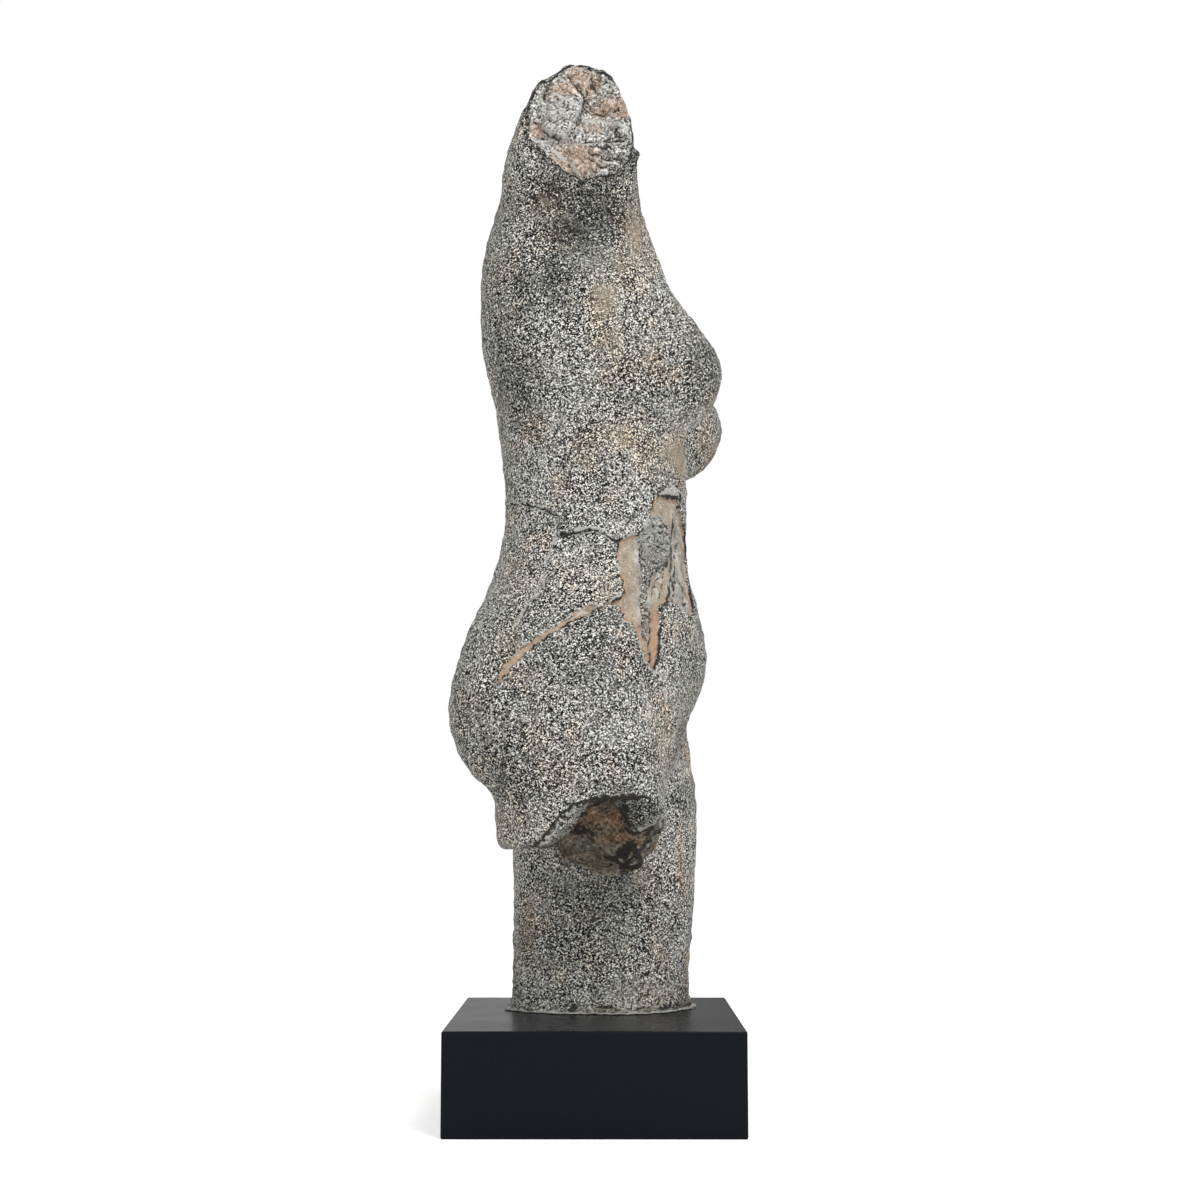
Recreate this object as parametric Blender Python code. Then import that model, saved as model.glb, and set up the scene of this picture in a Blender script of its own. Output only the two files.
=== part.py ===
# A cast resin torso of a standing woman, broken at neck, arms and one thigh, on a black block.
# Metres, Z up. The figure faces +X, so its right side is towards -Y.
# The origin is the middle of the plinth's underside.
import math

import bmesh
import bpy
import numpy as np
from mathutils import Matrix

# Driving sizes
PLINTH_LENGTH = 0.250  # along Y, across the figure
PLINTH_WIDTH = 0.200  # along X, from the figure's back to its front
PLINTH_HEIGHT = 0.069
PLINTH_EDGE_RADIUS = 0.0012
SEAT_GAP = 0.0003  # between the plinth and the figure that stands on it
FIGURE_HEIGHT = 0.665  # from the plinth's top to the top of the raised shoulder

# The figure's mesh, as shares of its height
BLOCK_OUT_VOXEL = FIGURE_HEIGHT / 130
CARVING_VOXEL = FIGURE_HEIGHT / 270
TORSO_TRIANGLES = 9000
SHARP_ANGLE = math.radians(40)

# The figure is laid out in millimetres at this height, from its seat up, and then scaled to its real height.
LAYOUT_HEIGHT = 665.0
SCALE = FIGURE_HEIGHT / LAYOUT_HEIGHT

# Sections through the trunk and the thighs: height, back, front, right side, left side.
# The left thigh is the leg that the figure stands on, and it runs on below the seat, where it is cut.
TRUNK = [
    (135, -40, 38, -72, 66),
    (165, -60, 54, -106, 96),
    (205, -70, 60, -121, 107),
    (250, -82, 70, -116, 103),
    (290, -81, 69, -102, 88),
    (330, -70, 67, -91, 72),
    (360, -67, 67, -88, 68),
    (400, -70, 66, -94, 72),
    (450, -76, 58, -104, 82),
    (490, -78, 46, -109, 89),
    (530, -77, 35, -104, 92),
    (570, -67, 23, -88, 86),
    (610, -50, 14, -60, 56),
]
RIGHT_THIGH = [
    (70, -67, 48, -113, -12),
    (120, -68, 49, -119, -9),
    (160, -69, 53, -122, -8),
    (210, -66, 56, -119, -6),
    (255, -56, 50, -104, -8),
]
LEFT_THIGH = [
    (-30, -62, 65, -9, 99),
    (30, -61, 69, -9, 100),
    (100, -61, 74, -9, 101),
    (150, -63, 75, -9, 104),
    (210, -64, 69, -6, 106),
    (255, -56, 56, -4, 96),
]
TRUNK_BOTTOM, TRUNK_TOP, THIGH_TOP = 140.0, 606.0, 258.0
SECTION_POWER = 2.25  # 2 is an ellipse, and more is squarer

# Rounded masses: centre, then reach along X, Y and Z
SHOULDER_BLADES = [((-57, -54, 512), (22, 34, 60)), ((-56, 42, 492), (24, 32, 50))]
BREASTS = [
    ((37, -58, 473), (34, 34, 34)),
    ((51, -56, 449), (39, 39, 39)),
    ((42, 37, 455), (33, 33, 34)),
    ((56, 36, 428), (39, 38, 39)),
]
NIPPLES = [((87, -59, 459), (5, 6, 5)), ((92, 38, 428), (5, 6, 5))]
BELLY = [((33, -6, 252), (44, 72, 52))]
RIGHT_BUTTOCK = [((-52, -61, 214), (50, 53, 62)), ((-44, -56, 246), (49, 52, 56))]
LEFT_BUTTOCK = [((-50, 42, 222), (50, 52, 60)), ((-43, 38, 252), (48, 50, 52))]

# Tapered rods: start, end, start radius, end radius
RIGHT_ARM = ((-14, -50, 564), (-11, -150, 666), 40.0, 39.0)
LEFT_ARM = ((-26, 62, 556), (-22, 130, 518), 37.0, 33.0)
NECK = ((-26, -7, 572), (-2, -8, 690), 43.0, 37.0)
CHEST_TO_RIGHT_ARM = ((31, -58, 461), (-7, -70, 580), 36.0, 34.0)
CHEST_TO_LEFT_ARM = ((30, 38, 440), (-20, 66, 545), 34.0, 28.0)
BACK_TO_RIGHT_ARM = ((-38, -62, 470), (-30, -74, 588), 36.0, 31.0)
NECK_TO_RIGHT_ARM = ((-28, -16, 588), (-20, -78, 606), 38.0, 34.0)
MUSCLES = [CHEST_TO_RIGHT_ARM, CHEST_TO_LEFT_ARM, BACK_TO_RIGHT_ARM, NECK_TO_RIGHT_ARM]
COLLAR_BONES = [((19, -13, 566), (2, -62, 600), 6.5, 6.0), ((19, -3, 566), (-8, 74, 582), 6.5, 6.0)]

# How softly neighbouring masses run into each other
MUSCLE_BLEND = 26.0
FLESH_BLEND = 14.0
FOLD_BLEND = 7.0
DETAIL_BLEND = 3.0
BREAK_RIM = 2.0

# Broken limbs: the limb, a point on its break, the way that the break faces and a seed for its relief
STUMPS = [
    (RIGHT_ARM, (-12, -105, 618), (0.05, -0.97, 0.20), 7),
    (LEFT_ARM, (-22, 103, 532), (0.08, 0.93, -0.36), 4),
    (NECK, (-8, -8, 638), (0.30, -0.10, 0.95), 2),
]
RIDGE_SPACINGS = (37.0, 21.0, 12.0)
RIDGE_SHARE = 0.12  # height of a ridge as a share of the spacing
RIDGE_WANDER = 0.4

# The right thigh's break: where it lies on the outer and the inner side, as X and height,
# and what is sunk into it or stands out of it, as X, Y, reach along each, and height
STUMP_OUTER_EDGE = [(-34, 117), (-22, 126), (-10, 142), (0, 148), (20, 150), (38, 148), (52, 129)]
STUMP_INNER_EDGE = [(-36, 117), (-12, 112), (8, 104), (24, 92), (36, 100), (52, 122)]
STUMP_OUTER_Y, STUMP_INNER_Y = -115.0, -20.0
STUMP_SWELLS = [(2, -66, 25, 26, 22.0), (31, -88, 11, 12, -14.0)]
STUMP_RIDGE_SHARE = 0.4
STUMP_SEED = 5

# Furrows: the view that the line is drawn in, the line, its half width and depth, and the side that it is
# on, as an axis with the place where the furrow starts to show and the place where it is whole
FURROWS = {
    "spine": ("yz", [(-8, 245), (-12, 330), (-6, 580)], 14, 6.5, ("x", -20, -40)),
    "cleft": ("yz", [(-9, 178), (-9, 258)], 6, 9.0, ("x", -20, -40)),
    "breastbone": ("yz", [(-10, 412), (-10, 505)], 12, 4.0, ("x", 20, 40)),
    "belly line": ("yz", [(-10, 305), (-10, 392)], 10, 2.2, ("x", 20, 40)),
    "navel": ("yz", [(-8, 273), (-8, 275)], 8, 9.0, ("x", 20, 40)),
    "lap": ("yz", [(-52, 205), (-8, 158), (42, 200)], 9, 3.0, ("x", 20, 40)),
    "right groin": ("xz", [(38, 240), (42, 210), (47, 182), (53, 150)], 8, 4.5, ("y", -25, -45)),
    "left groin": ("xz", [(40, 252), (48, 222), (58, 196), (66, 176)], 12, 3.0, ("y", 15, 40)),
    "armpit": ("xz", [(-7, 553), (-5, 553)], 25, 13.0, ("y", -30, -50)),
}

# The patch on the right flank where the outer skin has come away, as X and height seen from that side.
# Past the corner it turns to the front, where it narrows to its tip.
SKIN_DEPTH = 3.2
BARE_PATCH = [
    (100, 362), (66, 365), (47, 363), (40, 353), (33, 336), (19, 328), (18, 314), (22, 291), (9, 284),
    (18, 280), (30, 266), (33, 246), (39, 236), (43, 246), (45, 281), (52, 290), (70, 278), (100, 272),
]  # fmt: skip
PATCH_CORNER_Y = -50.0
PATCH_NARROWING = 1.2

# The open crack that runs back from the patch across the hip
CRACK = [(-67, 227), (-60, 239), (-50, 250), (-38, 257), (-19, 270), (-9, 276), (1, 280), (12, 284)]
CRACK_HALF_WIDTH = 2.6
CRACK_DEPTH = 4.0
CRACK_END_Y = -20.0

# The ragged foot where the leg meets the plinth
FOOT_CENTRE = (4.0, 45.0)
FOOT_FLARE = 7.0
FOOT_RISE = 2.6

# Steps that bring the mesh onto the form
PROBE = 0.4
LONGEST_STEP = 12.0
LEAST_SLOPE = 0.5
BALL_SPACING = 10.0
BALL_OVERLAP = 2.0
BALLS_PER_ROD = 9


def smooth_curve(at, heights, values):
    # A cubic through the values that keeps to their trend at each height
    trend = np.gradient(values, heights)
    at = np.clip(at, heights[0], heights[-1])
    i = np.clip(np.searchsorted(heights, at) - 1, 0, len(heights) - 2)
    step = heights[i + 1] - heights[i]
    t = (at - heights[i]) / step
    rise = values[i + 1] - values[i]
    bend = (1 - t) * (trend[i] * step - rise) + t * (rise - trend[i + 1] * step)
    return values[i] + rise * t + t * (1 - t) * bend


def section_sides(sections, at):
    # Back, front, right side and left side of a stack of sections at the heights asked for
    heights, *sides = np.array(sections, float).T
    return [smooth_curve(at, heights, side) for side in sides]


def ease(low, high, value):
    t = np.clip((value - low) / (high - low), 0, 1)
    return t * t * (3 - 2 * t)


def joined(a, b, blend):
    # The union of two solids given by their distances, with a soft fillet between them
    h = np.clip(0.5 + 0.5 * (b - a) / blend, 0, 1)
    return b + (a - b) * h - blend * h * (1 - h)


def cut_by(a, b, blend):
    return -joined(-a, -b, blend)


def section_stack(points, sections):
    # Distance to a solid whose level sections are rounded boxes
    x, y, z = points.T
    back, front, right, left = section_sides(sections, z)
    reach_x, reach_y = (front - back) / 2, (left - right) / 2
    u = np.abs(x - (front + back) / 2) / reach_x + 1e-6
    v = np.abs(y - (left + right) / 2) / reach_y + 1e-6
    n = SECTION_POWER
    q = (u**n + v**n) ** (1 / n)
    slope = q ** (1 - n) * np.hypot(u ** (n - 1) / reach_x, v ** (n - 1) / reach_y)
    return (q - 1) / slope


def rounded_mass(points, centre, reach):
    offset = points - centre
    k = np.linalg.norm(offset / reach, axis=1) + 1e-6
    return k * (k - 1) / (np.linalg.norm(offset / np.square(reach), axis=1) + 1e-9)


def tapered_rod(points, start, end, start_radius, end_radius):
    start = np.array(start, float)
    along = end - start
    t = np.clip((points - start) @ along / (along @ along), 0, 1)
    off = np.linalg.norm(points - start - t[:, None] * along, axis=1)
    return off - (start_radius + (end_radius - start_radius) * t)


def unit(vector):
    return np.array(vector, float) / np.linalg.norm(vector)


def crags(points, seed):
    # A rugged relief: wandering ridges at three sizes, each set running its own way
    chance = np.random.default_rng(seed)
    relief = 0
    for spacing in RIDGE_SPACINGS:
        across, along = unit(chance.normal(size=3)), unit(chance.normal(size=3))
        wander = RIDGE_WANDER * spacing * np.sin(2 * points @ along / spacing)
        ridge = np.abs(np.sin((points @ across + wander) * math.pi / spacing))
        relief = relief + RIDGE_SHARE * spacing * (ridge - 2 / math.pi)
    return relief


def past_break(points, centre, normal, seed):
    return (points - centre) @ unit(normal) + crags(points, seed)


def past_thigh_break(points):
    x, y, z = points.T
    outer = smooth_curve(x, *np.array(STUMP_OUTER_EDGE, float).T)
    inner = smooth_curve(x, *np.array(STUMP_INNER_EDGE, float).T)
    height = outer + (inner - outer) * ease(STUMP_OUTER_Y, STUMP_INNER_Y, y)
    for centre_x, centre_y, reach_x, reach_y, rise in STUMP_SWELLS:
        height += rise * np.exp(-(((x - centre_x) / reach_x) ** 2) - ((y - centre_y) / reach_y) ** 2)
    return height + STUMP_RIDGE_SHARE * crags(points, STUMP_SEED) - z


def view_of(points, view):
    return [points[:, "xyz".index(axis)] for axis in view]


def distance_to_line(a, b, line):
    nearest = np.full(len(a), np.inf)
    for (a0, b0), (a1, b1) in zip(line[:-1], line[1:]):
        da, db = a1 - a0, b1 - b0
        t = np.clip(((a - a0) * da + (b - b0) * db) / (da * da + db * db), 0, 1)
        nearest = np.minimum(nearest, np.hypot(a - a0 - t * da, b - b0 - t * db))
    return nearest


def distance_into(a, b, outline):
    # Distance into a closed outline, negative outside it
    inside = np.zeros(len(a), bool)
    closed = outline + outline[:1]
    for (a0, b0), (a1, b1) in zip(closed[:-1], closed[1:]):
        if b0 != b1:
            inside ^= ((b0 > b) != (b1 > b)) & (a < (a1 - a0) * (b - b0) / (b1 - b0) + a0)
    edge = distance_to_line(a, b, closed)
    return np.where(inside, edge, -edge)


def with_masses(solid, points, masses, blend):
    for mass in masses:
        solid = joined(solid, rounded_mass(points, *mass), blend)
    return solid


def with_rods(solid, points, rods, blend):
    for rod in rods:
        solid = joined(solid, tapered_rod(points, *rod), blend)
    return solid


def trunk(points):
    z = points[:, 2]
    solid = section_stack(points, TRUNK)
    solid = cut_by(solid, z - TRUNK_TOP, MUSCLE_BLEND)
    solid = cut_by(solid, TRUNK_BOTTOM - z, MUSCLE_BLEND)
    solid = with_rods(solid, points, MUSCLES, MUSCLE_BLEND)
    solid = with_rods(solid, points, COLLAR_BONES, FOLD_BLEND)
    solid = with_masses(solid, points, SHOULDER_BLADES + BREASTS, FLESH_BLEND)
    solid = with_masses(solid, points, NIPPLES, DETAIL_BLEND)
    solid = with_masses(solid, points, BELLY, MUSCLE_BLEND)
    for limb, *break_at in STUMPS:
        stump = cut_by(tapered_rod(points, *limb), past_break(points, *break_at), BREAK_RIM)
        solid = joined(solid, stump, FLESH_BLEND)
    return solid


def thigh(points, sections, buttock):
    solid = section_stack(points, sections)
    solid = cut_by(solid, points[:, 2] - THIGH_TOP, MUSCLE_BLEND)
    return with_masses(solid, points, buttock, FOLD_BLEND)


def body(points):
    right = thigh(points, RIGHT_THIGH, RIGHT_BUTTOCK)
    right = cut_by(right, past_thigh_break(points), BREAK_RIM)
    left = thigh(points, LEFT_THIGH, LEFT_BUTTOCK)
    return joined(trunk(points), joined(left, right, DETAIL_BLEND), FLESH_BLEND)


def furrow_depth(points):
    depth = 0
    for view, line, half_width, deepest, (axis, shows, whole) in FURROWS.values():
        away = distance_to_line(*view_of(points, view), line)
        on_side = ease(0, 1, (view_of(points, axis)[0] - shows) / (whole - shows))
        depth = depth + deepest * np.exp(-((away / half_width) ** 2)) * on_side
    return depth


def missing_skin(points):
    x, y, z = points.T
    past_corner = np.maximum(y - PATCH_CORNER_Y + 3 * np.sin(z / 8), 0)
    patch = distance_into(x, z, BARE_PATCH) - PATCH_NARROWING * past_corner
    crack = CRACK_HALF_WIDTH - distance_to_line(x, z, CRACK)
    crack = np.where(y < CRACK_END_Y, crack, -1)
    return np.maximum(SKIN_DEPTH * ease(-0.6, 1.2, patch), CRACK_DEPTH * ease(-1, 1, crack))


def foot_flare(points):
    x, y, z = points.T
    around = np.arctan2(y - FOOT_CENTRE[1], x - FOOT_CENTRE[0])
    ragged = 0.62 + 0.22 * np.sin(5 * around + 0.8) + 0.16 * np.sin(11 * around + 2)
    return FOOT_FLARE * ragged * np.exp(-np.maximum(z, 0) / FOOT_RISE)


def form(points):
    # Distance from the finished figure's surface, negative inside
    return body(points) + furrow_depth(points) + missing_skin(points) - foot_flare(points)


def pull_to_form(points, rounds=4):
    # Newton steps that bring each vertex onto the surface where form is zero
    for _ in range(rounds):
        here = form(points)
        uphill = np.stack([form(points + PROBE * axis) - here for axis in np.eye(3)], axis=1) / PROBE
        slope = np.maximum((uphill**2).sum(axis=1), LEAST_SLOPE**2)
        step = np.clip(here / slope, -LONGEST_STEP, LONGEST_STEP)
        points = points - uphill * step[:, None]
    return points


def balls_in_rod(start, end, start_radius, end_radius):
    for t in np.linspace(0, 1, BALLS_PER_ROD):
        radius = start_radius + (end_radius - start_radius) * t
        yield np.array(start) * (1 - t) + np.array(end) * t, (radius, radius, radius)


def balls_in_sections(sections, low, high):
    heights = np.arange(low, high, BALL_SPACING)
    for z, back, front, right, left in zip(heights, *section_sides(sections, heights)):
        reach = ((front - back) / 2, (left - right) / 2, BALL_OVERLAP * BALL_SPACING)
        yield ((back + front) / 2, (right + left) / 2, z), reach


def block_out():
    # Overlapping balls that fill the figure, as corners and faces. Those in broken limbs are pressed
    # flat against the break.
    ball = bmesh.new()
    bmesh.ops.create_icosphere(ball, subdivisions=3, radius=1)
    sphere = np.array([corner.co for corner in ball.verts])
    sides = np.array([[corner.index for corner in face.verts] for face in ball.faces])
    ball.free()

    end = BALL_OVERLAP * BALL_SPACING
    whole = SHOULDER_BLADES + BREASTS + NIPPLES + BELLY + RIGHT_BUTTOCK + LEFT_BUTTOCK
    whole += balls_in_sections(TRUNK, TRUNK_BOTTOM + end, TRUNK_TOP - end)
    whole += balls_in_sections(LEFT_THIGH, -end, THIGH_TOP)
    for rod in MUSCLES:
        whole += balls_in_rod(*rod)
    shapes = [sphere * reach + centre for centre, reach in whole]
    for limb, centre, normal, seed in STUMPS:
        for middle, reach in balls_in_rod(*limb):
            points = sphere * reach + middle
            past = np.maximum(past_break(points, centre, normal, seed), 0)
            shapes.append(points - past[:, None] * unit(normal))
    for middle, reach in balls_in_sections(RIGHT_THIGH, STUMP_OUTER_EDGE[0][1], THIGH_TOP):
        points = sphere * reach + middle
        points[:, 2] += np.maximum(past_thigh_break(points), 0)
        shapes.append(points)
    return np.concatenate(shapes), np.concatenate([sides + k * len(sphere) for k in range(len(shapes))])


def add_object(name, mesh):
    obj = bpy.data.objects.new(name, mesh)
    bpy.context.scene.collection.objects.link(obj)
    return obj


def apply_modifier(obj, kind, **settings):
    modifier = obj.modifiers.new(kind.lower(), kind)
    for name, value in settings.items():
        setattr(modifier, name, value)
    graph = bpy.context.evaluated_depsgraph_get()
    shaped = bpy.data.meshes.new_from_object(obj.evaluated_get(graph))
    obj.modifiers.clear()
    obj.data = shaped


def move_vertices(obj, rounds):
    mesh = obj.data
    points = np.empty(len(mesh.vertices) * 3)
    mesh.vertices.foreach_get("co", points)
    points = pull_to_form(points.reshape(-1, 3) / SCALE, rounds) * SCALE
    mesh.vertices.foreach_set("co", points.ravel())
    mesh.update()


def cut_flat_below(obj):
    # The leg ends in one flat face at the figure's own height zero
    shape = bmesh.new()
    shape.from_mesh(obj.data)
    everything = shape.verts[:] + shape.edges[:] + shape.faces[:]
    cut = bmesh.ops.bisect_plane(
        shape, geom=everything, plane_co=(0, 0, 0), plane_no=(0, 0, -1), clear_outer=True
    )
    rim = [item for item in cut["geom_cut"] if isinstance(item, bmesh.types.BMEdge)]
    bmesh.ops.holes_fill(shape, edges=rim, sides=0)
    bmesh.ops.triangulate(shape, faces=shape.faces)
    shape.to_mesh(obj.data)
    shape.free()


def paint(obj, name, colour, roughness):
    material = bpy.data.materials.new(name)
    material.use_nodes = True
    shader = material.node_tree.nodes["Principled BSDF"]
    shader.inputs["Base Color"].default_value = (*colour, 1)
    shader.inputs["Roughness"].default_value = roughness
    shader.inputs["Metallic"].default_value = 0
    obj.data.materials.clear()
    obj.data.materials.append(material)


def make_plinth():
    block = bmesh.new()
    size = Matrix.Diagonal((PLINTH_WIDTH, PLINTH_LENGTH, PLINTH_HEIGHT, 1))
    bmesh.ops.create_cube(block, size=1, matrix=size)
    bmesh.ops.translate(block, verts=block.verts, vec=(0, 0, PLINTH_HEIGHT / 2))
    bmesh.ops.bevel(
        block, geom=block.edges[:], offset=PLINTH_EDGE_RADIUS, segments=2, profile=0.5, affect="EDGES"
    )
    mesh = bpy.data.meshes.new("plinth")
    block.to_mesh(mesh)
    block.free()
    plinth = add_object("plinth", mesh)
    paint(plinth, "black lacquer", (0.012, 0.013, 0.015), 0.45)


def make_torso():
    corners, faces = block_out()
    mesh = bpy.data.meshes.new("torso")
    mesh.from_pydata((corners * SCALE).tolist(), [], faces.tolist())
    torso = add_object("torso", mesh)
    apply_modifier(torso, "REMESH", mode="VOXEL", voxel_size=BLOCK_OUT_VOXEL)
    move_vertices(torso, rounds=4)
    apply_modifier(torso, "SMOOTH", factor=0.5, iterations=2)
    apply_modifier(torso, "REMESH", mode="VOXEL", voxel_size=CARVING_VOXEL)
    move_vertices(torso, rounds=4)
    apply_modifier(torso, "SMOOTH", factor=0.5, iterations=1)
    move_vertices(torso, rounds=2)
    cut_flat_below(torso)
    apply_modifier(torso, "DECIMATE", ratio=TORSO_TRIANGLES / len(torso.data.polygons))
    torso.location.z = PLINTH_HEIGHT + SEAT_GAP
    torso.data.shade_smooth()
    torso.data.set_sharp_from_angle(angle=SHARP_ANGLE)
    paint(torso, "weathered resin", (0.22, 0.215, 0.19), 0.85)


for leftover in list(bpy.data.objects):
    bpy.data.objects.remove(leftover)
make_plinth()
make_torso()
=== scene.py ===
import math
from types import SimpleNamespace

import bmesh
import bpy
import numpy as np
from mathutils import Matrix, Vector


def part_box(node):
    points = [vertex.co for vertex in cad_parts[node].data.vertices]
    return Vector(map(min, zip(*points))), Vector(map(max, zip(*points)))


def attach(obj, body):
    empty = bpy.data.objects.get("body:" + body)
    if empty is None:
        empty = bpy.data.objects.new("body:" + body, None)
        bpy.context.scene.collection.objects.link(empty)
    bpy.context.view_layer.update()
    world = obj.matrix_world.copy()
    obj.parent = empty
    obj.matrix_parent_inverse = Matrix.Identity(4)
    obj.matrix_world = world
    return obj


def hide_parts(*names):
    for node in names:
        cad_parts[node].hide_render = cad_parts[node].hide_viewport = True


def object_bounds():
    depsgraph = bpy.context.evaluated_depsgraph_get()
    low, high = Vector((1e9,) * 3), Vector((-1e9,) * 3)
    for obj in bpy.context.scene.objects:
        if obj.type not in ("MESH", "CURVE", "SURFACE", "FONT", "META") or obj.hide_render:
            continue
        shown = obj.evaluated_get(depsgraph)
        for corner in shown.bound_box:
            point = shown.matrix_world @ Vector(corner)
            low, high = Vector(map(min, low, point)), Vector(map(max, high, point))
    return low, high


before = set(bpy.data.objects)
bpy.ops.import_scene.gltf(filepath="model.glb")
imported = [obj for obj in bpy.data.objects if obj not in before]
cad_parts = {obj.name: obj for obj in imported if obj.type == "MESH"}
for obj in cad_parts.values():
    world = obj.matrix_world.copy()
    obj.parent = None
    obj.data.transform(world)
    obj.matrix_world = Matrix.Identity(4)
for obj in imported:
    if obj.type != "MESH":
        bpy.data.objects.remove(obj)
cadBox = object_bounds()
scene = bpy.context.scene
print("frame loaded")

# Camera: low, square to the figure's right side and tipped a little up
cameraSetup = {
    "place": (0.0075, -1.4516, 0.2073),
    "tipUp": 6.222,
    "turn": -0.165,
    "lens": 60,
    "sensor": 36,
}


def addObject(name, data, place=(0, 0, 0)):
    made = bpy.data.objects.new(name, data)
    scene.collection.objects.link(made)
    made.location = place
    return made


def aim(thing, direction):
    thing.rotation_mode = "QUATERNION"
    thing.rotation_quaternion = Vector(direction).to_track_quat("-Z", "Y")


def makeCamera(setup):
    lens = bpy.data.cameras.new("viewCamera")
    lens.lens, lens.sensor_width = setup["lens"], setup["sensor"]
    camera = addObject("viewCamera", lens, setup["place"])
    tip, turn = math.radians(setup["tipUp"]), math.radians(setup["turn"])
    aim(camera, (math.sin(turn) * math.cos(tip), math.cos(turn) * math.cos(tip), math.sin(tip)))
    scene.camera = camera


makeCamera(cameraSetup)

# Studio: a pale floor, three soft lamps and white surroundings, dimmer low behind the figure to shade its leg
studio = {
    "surroundings": (1, 1, 1),
    "surroundingsStrength": 0.62,
    "lookStrength": 1,
    "dimmerBehind": 0.62,
    "dimmerBack": (0.6, 0.85),
    "dimmerHeight": (0.5, 0.3),
    "dimmerSide": (-0.05, 0.07),
    "floorColour": (0.9, 0.9, 0.89),
    "floorGlow": 0.46,
    "floorRoughness": 0.9,
    "floorSize": 14,
    "lampsAim": (0, 0, 0.38),
    "lamps": [
        {"name": "keyLamp", "place": (0.75, -1.55, 1.85), "size": 0.7, "watts": 27},
        {"name": "fillLamp", "place": (-1.5, -1.5, 0.9), "size": 1.2, "watts": 3},
        {"name": "backLamp", "place": (0.3, 1.7, 1.6), "size": 1.2, "watts": 6},
    ],
}


# Small helpers for node trees. This one adds a node and gives its outputs.
def addNode(tree, kind, values=None, **settings):
    made = tree.nodes.new("ShaderNode" + kind)
    place = len(tree.nodes) - 1
    made.location = (230 * (place % 9), -330 * (place // 9))
    for name, value in settings.items():
        setattr(made, name, value)
    for name, value in (values or {}).items():
        if isinstance(value, bpy.types.NodeSocket):
            tree.links.new(value, made.inputs[name])
        else:
            made.inputs[name].default_value = value
    return made.outputs


def calc(tree, operation, first, second=0):
    return addNode(tree, "Math", {0: first, 1: second}, operation=operation)[0]


def times(tree, first, second):
    return calc(tree, "MULTIPLY", first, second)


def total(tree, first, *others):
    for other in others:
        first = calc(tree, "ADD", first, other)
    return first


def swing(tree, value, share):
    # A noise value as a swing to both sides of 0
    return times(tree, calc(tree, "SUBTRACT", value, 0.5), share)


def lessen(tree, value, mask, share):
    # The value, smaller by that share where the mask is 1
    return times(tree, value, calc(tree, "SUBTRACT", 1, times(tree, mask, share)))


def noise(tree, at, size, detail=2, rough=0.5, twist=0):
    # Noise whose cells are about that many metres across
    values = {"Vector": at, "Scale": 1 / size, "Detail": detail, "Roughness": rough, "Distortion": twist}
    return addNode(tree, "TexNoise", values)[0]


def crumbs(tree, at, size):
    # Crumbs about that many metres across: a chance tone for each, and the gaps between them
    values = {"Vector": at, "Scale": 1 / size, "Randomness": 1}
    cells = addNode(tree, "TexVoronoi", values)["Color"]
    between = addNode(tree, "TexVoronoi", values, feature="DISTANCE_TO_EDGE")["Distance"]
    return addNode(tree, "SeparateColor", {0: cells})[0], fade(tree, between, 0.16, 0)


def fade(tree, value, low, high):
    values = {"Value": value, "From Min": low, "From Max": high}
    return addNode(tree, "MapRange", values, interpolation_type="SMOOTHSTEP")[0]


def blend(tree, factor, first, second, mode="MIX"):
    values = {0: factor, 6: first, 7: second}
    return addNode(tree, "Mix", values, data_type="RGBA", blend_type=mode)[2]


def tinted(tree, first, second):
    return blend(tree, 1, first, second, "MULTIPLY")


def blendValue(tree, factor, first, second):
    return addNode(tree, "Mix", {0: factor, 2: first, 3: second}, data_type="FLOAT")[0]


def ramp(tree, factor, stops):
    out = addNode(tree, "ValToRGB", {0: factor})[0]
    bar = out.node.color_ramp.elements
    while len(bar) < len(stops):
        bar.new(1)
    for element, (place, tone) in zip(bar, stops):
        element.position = place
        element.color = (*tone, 1) if isinstance(tone, tuple) else (tone, tone, tone, 1)
    return out


def maskOf(tree, name):
    return addNode(tree, "Attribute", attribute_name=name)["Fac"]


def startGroup(name, amounts):
    # A finish: a place and some amounts go in, a colour and a height come out
    tree = bpy.data.node_groups.new(name, "ShaderNodeTree")
    sockets = [("Vector", "INPUT", "Vector")] + [(title, "INPUT", "Float") for title in amounts]
    for title, way, kind in sockets + [("Colour", "OUTPUT", "Color"), ("Height", "OUTPUT", "Float")]:
        tree.interface.new_socket(title, in_out=way, socket_type="NodeSocket" + kind)
    return tree, tree.nodes.new("NodeGroupInput").outputs


def endGroup(tree, colour, height):
    out = tree.nodes.new("NodeGroupOutput").inputs
    tree.links.new(colour, out["Colour"])
    tree.links.new(height, out["Height"])
    return tree


# Crumbly cast stone: sizes in metres, and tones from the dark hollows to the dry brushed crests
grainFinish = {
    "crumbs": 0.0008,
    "middle": 0.0013,
    "clouds": 0.019,
    "wideClouds": 0.085,
    "contrast": (0.78, 0.7),
    "washAndShadeDepth": 0.145,
    "tones": [(0.33, 0.005), (0.43, 0.1), (0.5, 0.25), (0.57, 0.43), (0.68, 1)],
    "greyTint": (1, 0.995, 0.925, 1),
    "tanTint": (1.2, 1, 0.77, 1),
    "dust": (0.34, 0.285, 0.225, 1),
}


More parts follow.
